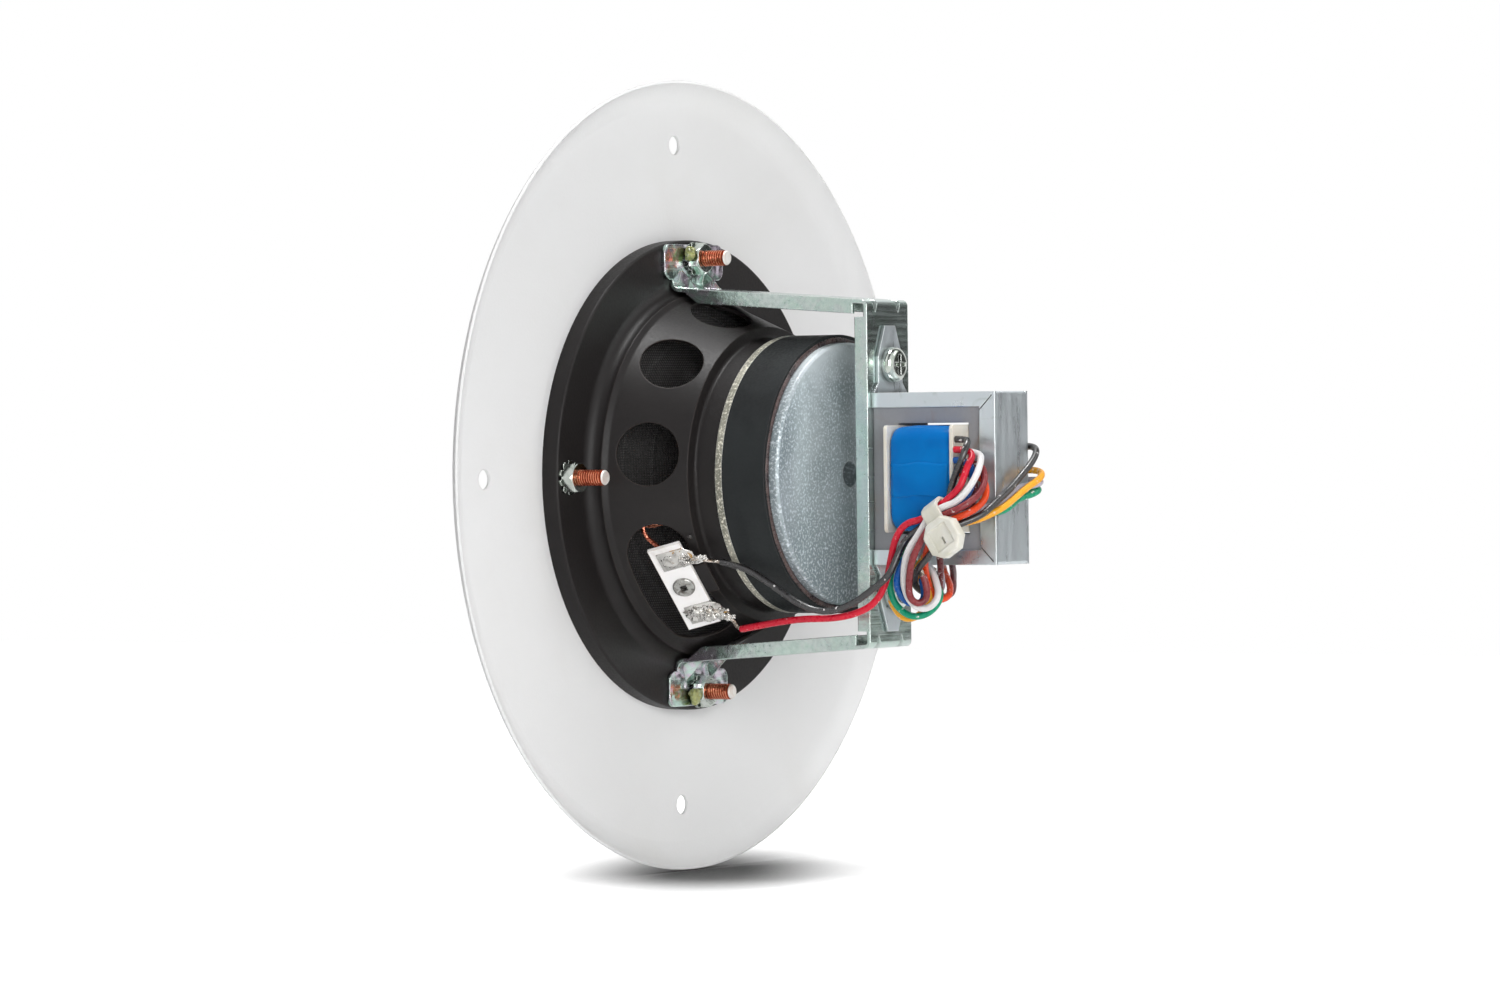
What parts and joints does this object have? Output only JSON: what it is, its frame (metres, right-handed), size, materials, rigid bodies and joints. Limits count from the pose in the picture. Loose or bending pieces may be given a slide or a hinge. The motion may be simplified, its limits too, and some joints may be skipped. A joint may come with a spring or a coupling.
{
  "type": "in ceiling speaker",
  "caption": "Round ceiling loudspeaker: white steel baffle, black stamped basket with ferrite magnet, and a tapped line transformer on a U bracket behind it.",
  "frame": {"origin": "middle of the baffle's front face, which is its lowest face", "axes": "+Z along the speaker's axis, from the room into the ceiling void; X along the transformer bracket; the terminal strip is in the +X, -Y quarter"},
  "size_m": [0.2, 0.2, 0.1056],
  "materials": {
    "amber_cloth": "resin treated cloth",
    "black_basket_paint": "satin black paint on stamped steel",
    "black_paper": "pressed paper pulp",
    "black_pvc": "soft PVC sheath",
    "blue_pvc": "soft PVC sheath",
    "blue_tape": "glossy polyester tape",
    "brown_glue": "brown glue bead",
    "brown_pvc": "soft PVC sheath",
    "copper_plated_steel": "copper plated thread",
    "copper_wire": "enamelled copper",
    "cream_nylon": "natural nylon",
    "ferrite": "dark sintered ferrite",
    "fibre_board": "pale fibre board",
    "former_paper": "paper and film tube",
    "green_pvc": "soft PVC sheath",
    "grey_board": "pressed board",
    "grey_pvc": "soft PVC sheath",
    "lock_paint": "olive lock paint",
    "maroon_pvc": "soft PVC sheath",
    "orange_pvc": "soft PVC sheath",
    "red_pvc": "soft PVC sheath",
    "silicon_steel": "stacked laminations",
    "solder_tin": "lumpy solder",
    "treated_cloth": "treated cloth",
    "white_powder_coat": "fine orange-peel powder coat",
    "white_pvc": "soft PVC sheath",
    "yellow_pvc": "soft PVC sheath",
    "zinc_steel": "bright zinc plate, faintly iridescent"
  },
  "bodies": {
    "root": {"baffle": "white_powder_coat", "basket": "black_basket_paint", "bobbin": "cream_nylon", "braid_lead_left": "copper_wire", "braid_lead_right": "copper_wire", "cable_tie": "cream_nylon", "coil_former": "former_paper", "cone": "black_paper", "core_laminations": "silicon_steel", "core_strap": "zinc_steel", "dust_cap": "black_paper", "ferrite_magnet": "ferrite", "gasket": "grey_board", "hex_nut_far": "zinc_steel", "hex_nut_left": "zinc_steel", "hex_nut_near": "zinc_steel", "hex_nut_right": "zinc_steel", "insulating_tape": "blue_tape", "lock_paint_left": "lock_paint", "lock_paint_right": "lock_paint", "magnet_glue": "brown_glue", "solder_lug_left": "solder_tin", "solder_lug_right": "solder_tin", "speaker_lead_black": "black_pvc", "speaker_lead_red": "red_pvc", "spider": "amber_cloth", "strap_nut_left": "zinc_steel", "strap_nut_right": "zinc_steel", "strap_screw_left": "zinc_steel", "strap_screw_right": "zinc_steel", "strip_rivet": "zinc_steel", "surround": "treated_cloth", "tap_lead_black": "black_pvc", "tap_lead_blue": "blue_pvc", "tap_lead_brown": "brown_pvc", "tap_lead_green": "green_pvc", "tap_lead_grey": "grey_pvc", "tap_lead_maroon": "maroon_pvc", "tap_lead_orange": "orange_pvc", "tap_lead_white": "white_pvc", "tap_lead_yellow": "yellow_pvc", "terminal_strip": "fibre_board", "tooth_washer_far": "zinc_steel", "tooth_washer_left": "zinc_steel", "tooth_washer_near": "zinc_steel", "tooth_washer_right": "zinc_steel", "top_plate": "zinc_steel", "transformer_bracket": "zinc_steel", "voice_coil": "copper_wire", "weld_stud_far": "copper_plated_steel", "weld_stud_left": "copper_plated_steel", "weld_stud_near": "copper_plated_steel", "weld_stud_right": "copper_plated_steel", "winding": "copper_wire", "yoke": "zinc_steel"}
  },
  "joints": []
}
